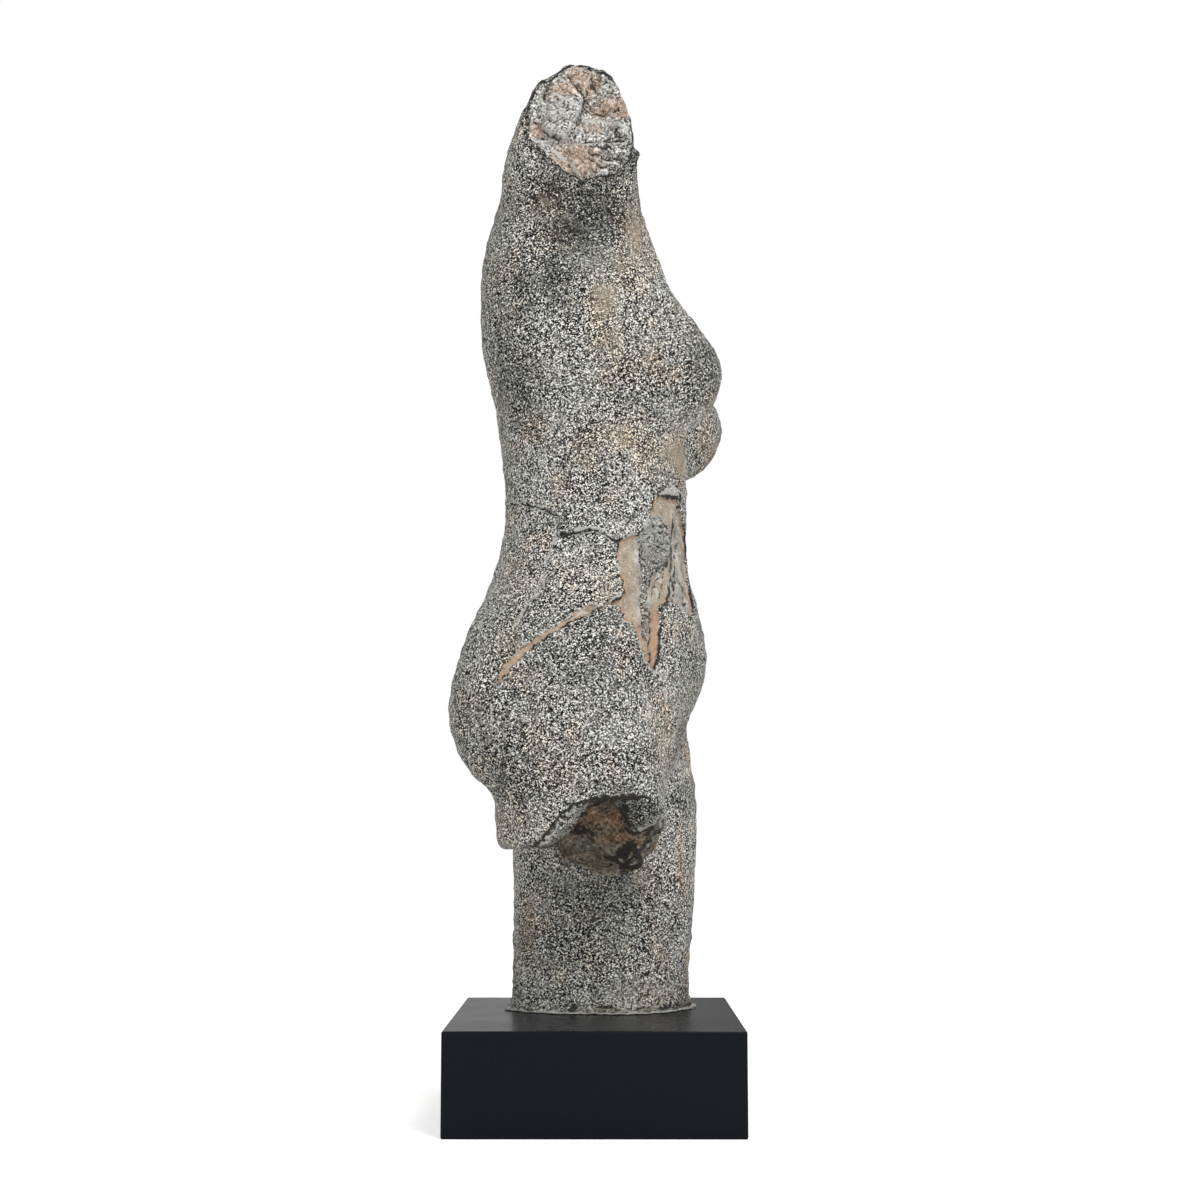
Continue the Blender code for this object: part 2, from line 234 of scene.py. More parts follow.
def makeGrain(look):
    tree, given = startGroup("castStoneGrain", ["Wash", "Calm", "Warmth"])
    at = given["Vector"]
    crumb, gap = crumbs(tree, at, look["crumbs"])
    middle = noise(tree, at, look["middle"], 1, 0.5, 0.9)
    cloud = noise(tree, at, look["clouds"], 3, 0.6, 0.5)
    wide = noise(tree, at, look["wideClouds"], 2, 0.5)
    least, more = look["contrast"]
    contrast = total(tree, least, times(tree, fade(tree, cloud, 0.4, 0.62), more))
    contrast = lessen(tree, contrast, given["Calm"], 0.65)
    mixed = total(tree, swing(tree, crumb, 0.44), swing(tree, middle, 0.66), times(tree, gap, -0.1))
    level = total(
        tree, times(tree, mixed, contrast), 0.002, swing(tree, cloud, -0.19), swing(tree, wide, 0.17),
    )
    # Lower tones where the dark wash and painted shade mask is strong
    level = total(tree, level, times(tree, given["Wash"], -look["washAndShadeDepth"]), 0.5)
    tone = ramp(tree, level, look["tones"])
    tan = fade(tree, noise(tree, at, 0.03, 3, 0.6, 0.4), 0.48, 0.7)
    tan = total(tree, times(tree, tan, 0.55), given["Warmth"])
    dusty = fade(tree, total(tree, given["Warmth"], noise(tree, at, 0.006, 2, 0.6)), 0.75, 1.35)
    colour = tinted(tree, tone, blend(tree, tan, look["greyTint"], look["tanTint"]))
    colour = blend(tree, times(tree, dusty, 0.55), colour, look["dust"])
    return endGroup(tree, colour, level)


# Freshly broken inner stone, paler and with rusty patches, and the earth tones of the thigh's hollow
brokenFinish = {
    "crumbs": 0.0012,
    "facets": 0.0042,
    "tones": [(0.32, 0.02), (0.42, 0.16), (0.5, 0.36), (0.6, 0.6), (0.71, 1)],
    "greyTint": (1, 0.985, 0.93, 1),
    "rustTint": (1.1, 0.87, 0.69, 1),
    "soil": [
        (0.34, (0.1, 0.065, 0.045)), (0.44, (0.29, 0.195, 0.135)), (0.55, (0.45, 0.33, 0.24)),
        (0.68, (0.85, 0.74, 0.62)),
    ],
    "burntTan": (0.33, 0.275, 0.2, 1),
    "burntOlive": (0.27, 0.265, 0.205, 1),
    "burntRust": (0.42, 0.245, 0.145, 1),
    "streaks": [(0.3, 0.1), (0.41, 0.42), (0.54, 0.62), (0.66, 1.05)],
    "speckles": [(0.22, 0.25), (0.45, 0.85), (0.72, 1.55)],
}


def makeBroken(look):
    tree, given = startGroup("brokenStone", ["Rust", "Burnt", "Calm"])
    at = given["Vector"]
    crumb, gap = crumbs(tree, at, look["crumbs"])
    facets = noise(tree, at, look["facets"], 2, 0.55, 2.2)
    level = total(tree, swing(tree, facets, 0.98), swing(tree, crumb, 0.28), times(tree, gap, -0.09))
    level = total(tree, lessen(tree, level, given["Calm"], 0.6), 0.52)
    tone = ramp(tree, level, look["tones"])
    wobble = swing(tree, noise(tree, at, 0.0045, 3, 0.6), 1.1)
    rusty = fade(tree, total(tree, given["Rust"], wobble), 0.15, 0.95)
    colour = tinted(tree, tone, blend(tree, rusty, look["greyTint"], look["rustTint"]))
    soil = ramp(tree, noise(tree, at, 0.0034, 3, 0.6, 2.4), look["soil"])
    colour = blend(tree, times(tree, rusty, 0.55), colour, soil)
    olive = fade(tree, noise(tree, at, 0.013, 2, 0.6, 0.5), 0.42, 0.6)
    earth = blend(tree, olive, look["burntTan"], look["burntOlive"])
    earth = blend(tree, given["Rust"], earth, look["burntRust"])
    streaks = ramp(tree, noise(tree, at, 0.009, 5, 0.66, 1), look["streaks"])
    speckles = total(tree, times(tree, crumb, 0.55), times(tree, facets, 0.45))
    burnt = tinted(tree, tinted(tree, streaks, earth), ramp(tree, speckles, look["speckles"]))
    colour = blend(tree, given["Burnt"], colour, burnt)
    return endGroup(tree, colour, level)


# The smooth core that shows where the stone skin has come away, tan or grey
coreFinish = {
    "clouds": 0.01,
    "fine": 0.0013,
    "tan": [(0.3, (0.27, 0.215, 0.155)), (0.5, (0.375, 0.31, 0.235)), (0.7, (0.45, 0.39, 0.31))],
    "grey": [
        (0.32, (0.12, 0.12, 0.11)), (0.44, (0.26, 0.26, 0.235)), (0.55, (0.36, 0.355, 0.33)),
        (0.66, (0.62, 0.61, 0.58)),
    ],
    "edge": (0.5, 0.305, 0.185, 1),
    "specks": (0.62, 0.58, 0.51, 1),
    "holes": (0.09, 0.07, 0.055, 1),
}


def makeBare(look):
    tree, given = startGroup("bareCore", ["Edge", "Grey"])
    at = given["Vector"]
    cloud = noise(tree, at, look["clouds"], 3, 0.6, 0.5)
    fine = noise(tree, at, look["fine"], 2, 0.5)
    colour = blend(tree, given["Grey"], ramp(tree, cloud, look["tan"]), ramp(tree, cloud, look["grey"]))
    colour = blend(tree, given["Edge"], colour, look["edge"])
    colour = blend(tree, times(tree, fade(tree, fine, 0.56, 0.7), 0.75), colour, look["specks"])
    colour = blend(tree, times(tree, fade(tree, fine, 0.4, 0.28), 0.8), colour, look["holes"])
    return endGroup(tree, colour, total(tree, times(tree, fine, 0.4), times(tree, cloud, 0.3)))


castStoneGrain = makeGrain(grainFinish)
brokenStone = makeBroken(brokenFinish)
bareCore = makeBare(coreFinish)
print("finish groups made")


def startMaterial(name):
    material = bpy.data.materials.new(name)
    material.use_nodes = True
    tree = material.node_tree
    return material, tree, tree.nodes["Principled BSDF"]


def endMaterial(tree, shader, look, colour, roughness, height):
    relief = {"Height": height, "Distance": look["reliefDepth"], "Strength": look["reliefStrength"]}
    normal = addNode(tree, "Bump", relief)[0]
    for title, value in (("Base Color", colour), ("Roughness", roughness), ("Normal", normal)):
        tree.links.new(value, shader.inputs[title])
    shader.inputs["Specular IOR Level"].default_value = look["gloss"]


stoneLook = {
    "reliefDepth": 0.0009,
    "reliefStrength": 0.8,
    "roughness": 0.86,
    "bareRoughness": 0.62,
    "gloss": 0.28,
    "raggedSize": 0.0026,
    "paleEdges": (0.52, 0.52, 0.49, 1),
    "darkLines": (0.02, 0.019, 0.017, 1),
}


def makeStone(look):
    material, tree, shader = startMaterial("weatheredStone")
    at = addNode(tree, "TexCoord")["Object"]
    ragged = swing(tree, noise(tree, at, look["raggedSize"], 2, 0.6), 0.9)

    def ragMask(name, low=0.35, high=0.65, share=1):
        return fade(tree, total(tree, maskOf(tree, name), times(tree, ragged, share)), low, high)

    def finishOf(group, **masks):
        amounts = {title: maskOf(tree, name) for title, name in masks.items()}
        return addNode(tree, "Group", {"Vector": at, **amounts}, node_tree=group)

    skin = finishOf(castStoneGrain, Wash="darkWash", Calm="calmSkin", Warmth="tanStain")
    broken = finishOf(brokenStone, Rust="rustStain", Burnt="burntHollow", Calm="calmSkin")
    bare = finishOf(bareCore, Edge="bareEdge", Grey="greyCore")
    brokenMask, bareMask = ragMask("brokenFace"), ragMask("bareStone", 0.42, 0.58)
    colour = blend(tree, brokenMask, skin["Colour"], broken["Colour"])
    colour = blend(tree, bareMask, colour, bare["Colour"])
    colour = blend(tree, times(tree, ragMask("paleEdge", 0.42, 0.8, 0.7), 0.8), colour, look["paleEdges"])
    colour = blend(tree, times(tree, ragMask("darkLine", 0.32, 0.66, 0.5), 0.9), colour, look["darkLines"])
    height = blendValue(tree, brokenMask, skin["Height"], broken["Height"])
    height = blendValue(tree, bareMask, height, bare["Height"])
    bareRoughness = total(tree, times(tree, bare["Height"], 0.2), look["bareRoughness"])
    roughness = blendValue(tree, bareMask, look["roughness"], bareRoughness)
    endMaterial(tree, shader, look, colour, roughness, height)
    return material


lacquerLook = {
    "colour": (0.0028, 0.0044, 0.0072, 1),
    "cloudColour": (0.0035, 0.0055, 0.009, 1),
    "dustColour": (0.02, 0.021, 0.023, 1),
    "clouds": 0.05,
    "ripples": 0.0016,
    "reliefDepth": 0.00006,
    "reliefStrength": 0.5,
    "dust": 0.0009,
    "roughness": (0.2, 0.16),
    "gloss": 0.13,
}


def makeLacquer(look):
    material, tree, shader = startMaterial("blackLacquer")
    at = addNode(tree, "TexCoord")["Object"]
    cloud = noise(tree, at, look["clouds"], 4, 0.6)
    ripples = noise(tree, at, look["ripples"], 2, 0.5)
    dust = fade(tree, noise(tree, at, look["dust"], 2, 0.6), 0.66, 0.8)
    facing = addNode(tree, "NewGeometry")["Normal"]
    up = addNode(tree, "SeparateXYZ", {0: facing})[2]
    dust = times(tree, dust, fade(tree, up, 0.6, 0.95))
    colour = blend(tree, cloud, look["colour"], look["cloudColour"])
    colour = blend(tree, dust, colour, look["dustColour"])
    least, more = look["roughness"]
    endMaterial(tree, shader, look, colour, total(tree, least, times(tree, cloud, more)), ripples)
    return material


weatheredStone = makeStone(stoneLook)
blackLacquer = makeLacquer(lacquerLook)
print("materials made")

# Relief on the cast figure. Places are in millimetres over the plinth's top: x to the figure's front,
# y to its left and z up. The drawn lines are as the figure's right side shows them, in x and z.
castRelief = {
    "spacing": 0.0032,  # metres; the other lengths are millimetres
    "facetRounds": 12,
    "fillRounds": 26,
    "creaseAngles": (14, 30),
    "seatHeight": 3,
    "fineBand": 5,
    "finestBand": 2.2,
    "topClearance": 0.5,
    "brokenCrest": 1.6,
    "brokenScoop": 4,
    "skinThickness": 3.2,
    "flapRise": 2,
    "wideCrackDepth": 1.6,
    "fineCrackDepth": 1.4,
    "fineCrackLip": 0.8,
    "fleckRise": 0.8,
    "pitDepth": 1.5,
    "footSwirls": 0.45,
    "unevenness": [(13, 0.26), (6.5, 0.18)],
}
millimetres = 1000
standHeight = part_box("torso")[0][2] * millimetres

spallOutline = [
    (100, 366), (66, 366), (62, 365), (57, 363), (51, 362), (46, 363), (42, 358), (40, 351), (38, 344),
    (35, 338), (30, 333), (24, 331), (18, 329), (16, 324), (15, 317), (17, 310), (19, 303), (20, 296),
    (21, 290), (17, 287), (12, 284), (17, 280), (22, 273), (27, 267), (31, 259), (33, 251), (36, 243),
    (40, 237), (43, 244), (44, 252), (45, 266), (45, 283), (52, 288), (56, 287), (61, 285), (65, 280),
    (100, 272),
]
spallCorner, spallNarrowing = -50, 1.2
island = [
    (45, 347), (51, 344), (54, 337), (55, 329), (53, 318), (47, 310), (40, 302), (38, 295), (37, 285),
    (38, 269), (37, 258), (33, 258), (32, 269), (32, 283), (33, 294), (33, 305), (31, 315), (30, 326),
    (30, 334), (34, 341), (38, 347),
]
greyCore = [
    (56, 350), (58, 358), (70, 364), (100, 366), (100, 272), (68, 279), (60, 284), (54, 292), (55, 310),
    (56, 330),
]
# Grooves, and crests on the arm: a line, half its width, and its depth or rise
spallGrooves = [
    ([(58, 350), (58, 330), (57, 312), (55, 296), (53, 288)], 1.1, 2),
    ([(47, 285), (46, 270), (45, 256)], 0.35, 1.4),
    ([(61, 363), (61, 346), (61, 332), (60, 313), (58, 297), (57, 287)], 0.7, 1.6),
    ([(65, 364), (65, 345), (66, 325), (66, 300), (66, 284)], 0.7, 1.4),
    ([(40, 281), (40, 269), (40, 259), (38, 252)], 0.8, 2.6),
    ([(40, 250), (40, 244), (39, 240)], 0.9, 2),
    ([(49, 309), (44, 299), (41, 290)], 0.25, 0.9),
    ([(51, 308), (49, 297), (46, 287)], 0.25, 0.9),
    ([(51, 342), (55, 334), (56, 326), (55, 318), (50, 310)], 0.7, 1),
    ([(59, 369), (61, 366), (62, 362)], 0.8, 1.6),
]
fanOutline = [(50, 314), (55, 308), (56, 296), (53, 288), (46, 284), (42, 288), (40, 297), (44, 306)]
topFlap = [(44, 362), (48, 368), (54, 372), (59, 369), (61, 364), (54, 363)]
wideCrack = [(-67, 227), (-60, 239), (-50, 250), (-38, 257), (-19, 270), (-9, 276), (1, 280), (12, 284)]
wideCrackLine = [
    (-66, 226), (-63, 233), (-60, 237), (-56, 243), (-50, 249), (-46, 252), (-40, 256), (-34, 261),
    (-23, 267), (-17, 271), (-12, 274), (-7, 277), (-2, 280), (2, 280),
]
wideCrackWidths = [0.6, 1.8, 2.5, 2.5, 2, 1.5, 1.4, 1.3, 1.2, 1.4, 2.4, 2.9, 1.8, 0.5]
# Fine cracks: a line, how dark it is and how deep
fineCracks = [
    ([(-70, 362), (-56, 358), (-43, 354), (-35, 351), (-29, 347), (-25, 345), (-25, 339), (-27, 332),
      (-21, 332), (-10, 334), (-3, 335), (4, 334), (10, 330), (15, 326), (18, 328)], 1, 1),
    ([(-27, 330), (-29, 325), (-31, 318), (-34, 312), (-35, 303), (-35, 293), (-39, 288), (-44, 284),
      (-48, 277), (-52, 270), (-55, 263), (-50, 256), (-47, 253)], 0.35, 1),
    ([(2, 279), (8, 280), (12, 282), (16, 286), (20, 289)], 0.1, 1),
    ([(-69, 215), (-69, 203), (-70, 187)], 0, 0.5),
    ([(47, 237), (48, 218), (50, 191)], 0.5, 0.3),
]
armFace = [
    (-14, 663), (-5, 661), (7, 657), (14, 650), (20, 640), (24, 629), (25.5, 614), (25.5, 602), (24, 594),
    (20, 588), (12, 581), (2, 579), (-11, 576), (-20, 581), (-27, 586), (-34, 593), (-40, 599), (-46, 605),
    (-45, 614), (-46, 629), (-42, 640), (-37, 650), (-30, 649), (-25, 656), (-20, 661),
]
armGrooves = [
    ([(-20, 658), (-17, 650), (-8, 640), (0, 631)], 0.9, 2.4),
    ([(-37, 651), (-34, 645), (-36, 636)], 1.1, 2.4),
    ([(-9, 634), (-2, 629), (8, 627), (18, 630)], 0.9, 2),
    ([(-2, 652), (2, 644), (10, 641)], 0.7, 1.4),
    ([(-6, 604), (6, 604), (18, 608)], 1, 1.8),
    ([(-6, 600), (6, 598), (20, 600)], 1, 1.8),
    ([(-4, 595), (8, 590), (19, 592)], 1, 1.8),
    ([(-4, 590), (4, 585), (12, 584)], 0.7, 1.3),
    ([(-40, 622), (-30, 616), (-18, 618)], 0.5, 1),
]
armCrests = [
    ([(-8, 618), (4, 621), (18, 616), (24, 606)], 1.4, 2),
    ([(-42, 604), (-33, 600), (-25, 593), (-16, 586), (-11, 579)], 1.4, 1.3),
    ([(-32, 640), (-22, 634), (-10, 626), (-4, 614)], 1.4, 1.6),
    ([(-26, 652), (-18, 645), (-12, 650)], 1.2, 1.4),
]
# Centre, reach and rise of the knobs on the arm's rim, and how much higher its broken top stands by x
armSwells = [
    ((28, -93, 600), 5.5, 5.2), ((27, -92, 593), 6, 3.6), ((26, -91, 586), 6, 1.8), ((-40, -90, 649), 4.5, 3),
]
armTopRise = [
    (-34, 0), (-28, 1), (-23, 3.5), (-17, 7), (-12, 5.5), (-6, 5.5), (0, 7.5), (6, 9.5), (11, 9), (16, 6),
    (21, 1.8), (26, 0),
]
stumps = {
    "arm": ((-12, -105, 618), (0.05, -0.97, 0.2), 60),
    "farArm": ((-22, 103, 532), (0.08, 0.93, -0.36), 60),
    "neck": ((-8, -8, 638), (0.3, -0.1, 0.95), 55),
}
thighOuterEdge = [(-34, 117), (-22, 126), (-10, 142), (0, 148), (20, 150), (38, 148), (52, 129)]
thighInnerEdge = [(-36, 117), (-12, 112), (8, 104), (24, 92), (36, 100), (52, 122)]
thighRimLine = [
    (-43, 118), (-28, 117), (-19, 126), (-10, 138), (-3, 146), (4, 150), (14, 151), (30, 152), (41, 152),
    (48, 150), (52, 142), (49, 133),
]
thighLump = [(13, 149), (22, 151), (41, 151), (47, 143), (42, 136), (29, 131), (23, 136), (17, 142)]
thighOuterLine = [
    (-40, 119), (-33, 125.5), (-23, 139), (-14, 146.5), (-2, 149.5), (9, 151.5), (20, 150.5), (31, 152.5),
    (42, 150), (50, 145), (51, 135), (50, 124),
]
thighBackRim = [(-47, 119), (-37, 117.5), (-28, 119), (-21, 125)]
thighFloor = [(50, 100), (30, 80), (-6, 92), (-36, 108)]
thighBand = [
    (-40, 118), (-33, 125), (-23, 138.5), (-14, 146), (-3, 149.5), (-2, 145), (-9, 137), (-18, 125),
    (-27, 116),
]
# Lines in the hollow: how dark (or pale, below 0) and half their width
thighStrokes = [
    ([(26, 129), (33, 131), (38, 133), (44, 136)], -1, 1.1),
    ([(20, 131), (27, 127), (34, 128), (40, 130), (46, 129)], 0.9, 1),
    ([(49, 146), (50, 137), (49, 129), (44, 124)], 0.9, 1.3),
    ([(29, 110), (35, 114), (42, 119)], -0.9, 1.1),
    ([(26, 105), (32, 107), (38, 111), (43, 115)], -0.8, 0.9),
    ([(24, 108), (31, 112), (38, 117), (44, 121)], 0.9, 0.9),
    ([(20, 111), (25, 106), (30, 103)], 0.8, 0.9),
    ([(6, 111), (13, 106), (22, 101), (31, 101), (39, 107), (43, 113)], 0.95, 1.5),
    ([(-16, 126), (-10, 130), (-4, 130), (-1, 126), (-3, 121)], 0.8, 0.9),
    ([(-14, 123), (-8, 121), (-4, 118)], -0.7, 0.8),
    ([(3, 143), (9, 141), (13, 136), (15, 131)], 0.5, 0.7),
]
# Soft spots: x, z, width, height and strength
armRust = [
    (-8, 651, 13, 11, 1.15), (-22, 643, 12, 7, 0.9), (13, 631, 17, 9, 1.2), (-40, 612, 6, 7, 1.1),
    (-12, 590, 20, 13, 1), (-30, 640, 9, 7, 0.55), (-2, 616, 14, 6, 0.6),
]
armCalm = [
    (-28, 622, 15, 16, 0.8), (-28, 653, 8, 5, 0.8), (-16, 592, 18, 10, 0.5), (0, 616, 14, 5, 0.6),
    (-24, 604, 12, 8, 0.7),
]
thighPits = [(-9, 126, 5, 5, 1), (20, 113, 6, 6, 1), (36, 124, 4, 4, 1), (14, 108, 5, 5, 1)]
thighRust = [
    (-5, 141, 10, 9, 1), (14, 137, 10, 6, 0.9), (17, 124, 14, 5, 0.9), (28, 117, 7, 6, 1),
    (-12, 131, 8, 7, 0.7),
]
thighDark = [
    (20, 141, 5, 8, 1), (29, 116, 8, 5, 0.62), (24, 102, 11, 4, 0.9), (45, 124, 4, 9, 0.7),
    (-22, 119, 9, 3, 0.6), (36, 110, 8, 3, 0.6),
]
# Dark patches: partly dark patina, partly painted shade in the armpit, along the back and on the leg under
# the thigh's break
darkPatchesAndShade = [
    (-50, 500, 14, 30, 0.75), (-30, 505, 14, 22, 0.8), (-50, 430, 12, 26, 0.6), (-30, 566, 22, 14, 0.85),
    (4, 558, 24, 20, 0.85), (-18, 541, 26, 14, 0.9), (-64, 470, 10, 60, 0.45), (88, 420, 8, 16, 0.7),
    (-90, 205, 7, 40, 0.2), (60, 130, 8, 30, 0.3), (-4, 270, 22, 10, 0.45), (80, 450, 16, 22, 0.55),
    (0, 238, 40, 26, 0.45), (38, 246, 6, 10, 0.8), (10, 85, 50, 26, 0.25), (-58, 160, 22, 16, 0.5),
    (30, 75, 20, 10, 0.3), (54, 36, 7, 12, 0.6),
]
tanPatches = [
    (28, 545, 9, 26, 0.8), (18, 520, 8, 16, 0.6), (6, 492, 10, 16, 0.8), (12, 465, 9, 12, 0.6),
    (40, 455, 8, 8, 0.5), (60, 392, 16, 14, 0.9), (20, 400, 16, 14, 0.55), (-6, 395, 12, 12, 0.45),
    (-34, 560, 16, 12, 0.5), (-20, 300, 16, 14, 0.28), (-22, 168, 16, 13, 0.38), (48, 195, 7, 22, 0.6),
    (-60, 130, 14, 16, 0.4), (52, 38, 10, 16, 0.72), (-50, 70, 8, 20, 0.45),
]
paleFlecks = [
    (-11, 525, 2.6, 2.2, 1), (-48, 204, 6, 3, 0.75), (-44, 478, 5, 3, 0.6), (-47, 416, 4, 5, 0.6),
    (20, 236, 5, 3, 0.55),
]
wideCrackLobes = [(-8, 277, 5, 2.2, 0.9), (-50, 248, 7, 1.6, 0.7)]
calmPatches = [
    (-2, 525, 18, 12, 0.7), (28, 545, 8, 22, 0.7), (6, 492, 8, 12, 0.7), (62, 392, 14, 14, 0.9),
    (-16, 548, 14, 8, 0.8), (-66, 555, 10, 20, 0.5), (20, 96, 40, 12, 0.6), (-20, 90, 30, 10, 0.6),
    (72, 250, 14, 44, 0.1), (-66, 420, 10, 20, 0.5), (30, 15, 40, 8, 0.6), (-20, 12, 30, 6, 0.5),
]


def ease(low, high, value):
    # Goes smoothly from 0 at low to 1 at high
    part = np.clip((value - low) / (high - low), 0, 1)
    return part * part * (3 - 2 * part)


def stripe(value, middle, low, high):
    # 1 within high of the middle and 0 past low
    return ease(low, high, np.abs(value - middle))


def fromLine(a, b, line, widths=None):
    # Distance to a drawn line, less its half width where widths are given
    nearest = np.full(len(a), np.inf)
    for k in range(len(line) - 1):
        (a0, b0), (a1, b1) = line[k], line[k + 1]
        da, db = a1 - a0, b1 - b0
        t = np.clip(((a - a0) * da + (b - b0) * db) / (da * da + db * db), 0, 1)
        away = np.hypot(a - a0 - t * da, b - b0 - t * db)
        if widths:
            away = away - (widths[k] + t * (widths[k + 1] - widths[k]))
        nearest = np.minimum(nearest, away)
    return nearest


def depthIn(a, b, outline):
    # Distance into a closed outline, negative outside it
    inside = np.zeros(len(a), bool)
    closed = outline + outline[:1]
    for (a0, b0), (a1, b1) in zip(closed[:-1], closed[1:]):
        if b0 != b1:
            inside ^= ((b0 > b) != (b1 > b)) & (a < (a1 - a0) * (b - b0) / (b1 - b0) + a0)
    edge = fromLine(a, b, closed)
    return np.where(inside, edge, -edge)


def waves(points, size, seed, count=22):
    # An even random relief of unit depth, its swells about that many millimetres apart
    chance = np.random.default_rng(seed)
    relief = np.zeros(len(points))
    for _ in range(count):
        way = chance.normal(size=3)
        way *= 2 * math.pi / (size * chance.uniform(0.8, 1.35) * np.linalg.norm(way))
        relief += np.cos(points @ way + chance.uniform(0, 2 * math.pi))
    return relief / math.sqrt(count / 2)


def chips(points, size, seed, sharp=1.2):
    # Broken facets: each cell of the stone leans its own way, with a small step to the next
    chance = np.random.default_rng(seed)
    low, high = points.min(0) - size, points.max(0) + size
    count = int(min(260, max(12, np.prod(np.maximum(high - low, size) / size) * 0.9)))
    middles = chance.uniform(low, high, size=(count, 3))
    leans = chance.normal(size=(count, 3)) * 0.42
    steps = chance.normal(size=count) * size * 0.07
    away = np.linalg.norm(points[:, None, :] - middles[None], axis=2)
    share = np.exp(-(away - away.min(1, keepdims=True)) / sharp)
    lean = np.einsum("pkc,kc->pk", points[:, None, :] - middles[None], leans) + steps
    return (share * lean).sum(1) / share.sum(1)


def readAll(items, name, width, kind=float):
    flat = np.empty(len(items) * width, kind)
    items.foreach_get(name, flat)
    return flat.reshape(-1, width)


def readPoints(mesh):
    return readAll(mesh.vertices, "co", 3) * millimetres - (0, 0, standHeight)


def readNormals(mesh):
    return readAll(mesh.vertices, "normal", 3)


def readEdges(mesh):
    return readAll(mesh.edges, "vertices", 2, int)


def writePoints(mesh, points):
    mesh.vertices.foreach_set("co", ((points + (0, 0, standHeight)) / millimetres).ravel())
    mesh.update()


def writeMask(mesh, name, values):
    made = mesh.attributes.new(name, "FLOAT", "POINT")
    made.data.foreach_set("value", np.clip(values, 0, 1).astype(np.float32))


def evenNormals(normals, edges, rounds):
    evened = relax(normals, edges, rounds)
    return evened / np.linalg.norm(evened, axis=1, keepdims=True)


def relax(values, edges, rounds, share=0.5, hold=None):
    # Evens values out between neighbours. hold is 0 where a point is free and 1 where it stays.
    count = np.bincount(edges.ravel(), minlength=len(values)).astype(float)
    free = share if hold is None else (share * (1 - hold))
    values = values.copy()
    flat = values.reshape(len(values), -1)
    for _ in range(rounds):
        for column in range(flat.shape[1]):
            own = flat[:, column]
            around = np.bincount(edges[:, 0], own[edges[:, 1]], len(own))
            around += np.bincount(edges[:, 1], own[edges[:, 0]], len(own))
            flat[:, column] = own + free * (around / count - own)
    return flat.reshape(values.shape)


def evenMesh(nodeName, name, spacing):
    # An even mesh over the plain casting, as a new piece
    rough = addObject(name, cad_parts[nodeName].data.copy())
    remesh = rough.modifiers.new("even", "REMESH")
    remesh.mode = "VOXEL"
    remesh.voxel_size = spacing
    bpy.context.view_layer.update()
    mesh = bpy.data.meshes.new_from_object(rough.evaluated_get(bpy.context.evaluated_depsgraph_get()))
    rough.modifiers.clear()
    rough.data = mesh
    mesh.name = name
    return rough


def splitNear(mesh, near):
    # Halves the mesh's spacing where near is true
    work = bmesh.new()
    work.from_mesh(mesh)
    chosen = [edge for edge in work.edges if near[edge.verts[0].index] and near[edge.verts[1].index]]
    bmesh.ops.subdivide_edges(work, edges=chosen, cuts=1, use_grid_fill=True)
    bmesh.ops.triangulate(work, faces=[face for face in work.faces if len(face.verts) > 4])
    work.to_mesh(mesh)
    work.free()


def spallDepthIn(points):
    # Distance into the bare patch, which narrows past the figure's front corner
    x, y, z = points.T
    past = np.maximum(y - spallCorner + 3 * np.sin(z / 8), 0)
    return np.where(y < 60, depthIn(x, z, spallOutline) - spallNarrowing * past, -50)


def thighBreakHeight(points):
    # The broken face's height: its outer and inner edges, a hollow that goes up and a lip that hangs down
    x, y, z = points.T
    outer = np.interp(x, *np.array(thighOuterEdge, float).T)
    inner = np.interp(x, *np.array(thighInnerEdge, float).T)
    height = outer + (inner - outer) * ease(-115, -20, y)
    height += 22 * np.exp(-(((x - 2) / 25) ** 2) - ((y + 66) / 26) ** 2)
    return height - 14 * np.exp(-(((x - 31) / 11) ** 2) - ((y + 88) / 12) ** 2)


def stumpMask(points, normals, name):
    # 1 on the broken face of a stump, 0 on the skin round it
    centre, facing, reach = stumps[name]
    facing = np.array(facing) / np.linalg.norm(facing)
    offset = points - centre
    out = offset @ facing
    aside = np.linalg.norm(offset - out[:, None] * facing, axis=1)
    turned = ease(0.35, 0.62, normals @ facing)
    return turned * ease(-14, -8, out) * ease(reach + 4, reach, aside)


def thighMask(points, normals):
    x, y, z = points.T
    near = stripe(z, thighBreakHeight(points), 12, 7)
    return near * (ease(-44, -38, x) * ease(8, 0, y) * ease(0.05, -0.3, normals[:, 2]))


def nearDrawing(points, normals, reach):
    # True where the mesh has to be finer: along the drawn lines, in the bare patch and on the arm's break
    x, y, z = points.T
    right = (y < 10) & (normals[:, 1] < 0.12)
    patch = spallDepthIn(points)
    lines = [np.abs(patch), fromLine(x, z, wideCrackLine)]
    lines += [fromLine(x, z, line) for line, _, _ in fineCracks]
    lines += [np.where(z < 170, fromLine(x, z, line), 30) for line in (thighRimLine, thighOuterLine)]
    near = right & ((np.minimum.reduce(lines) < reach) | ((patch > 0) & (x < 72)))
    return near | ((y < -70) & (depthIn(x, z, armFace) > -2) & (normals[:, 1] < -0.1))


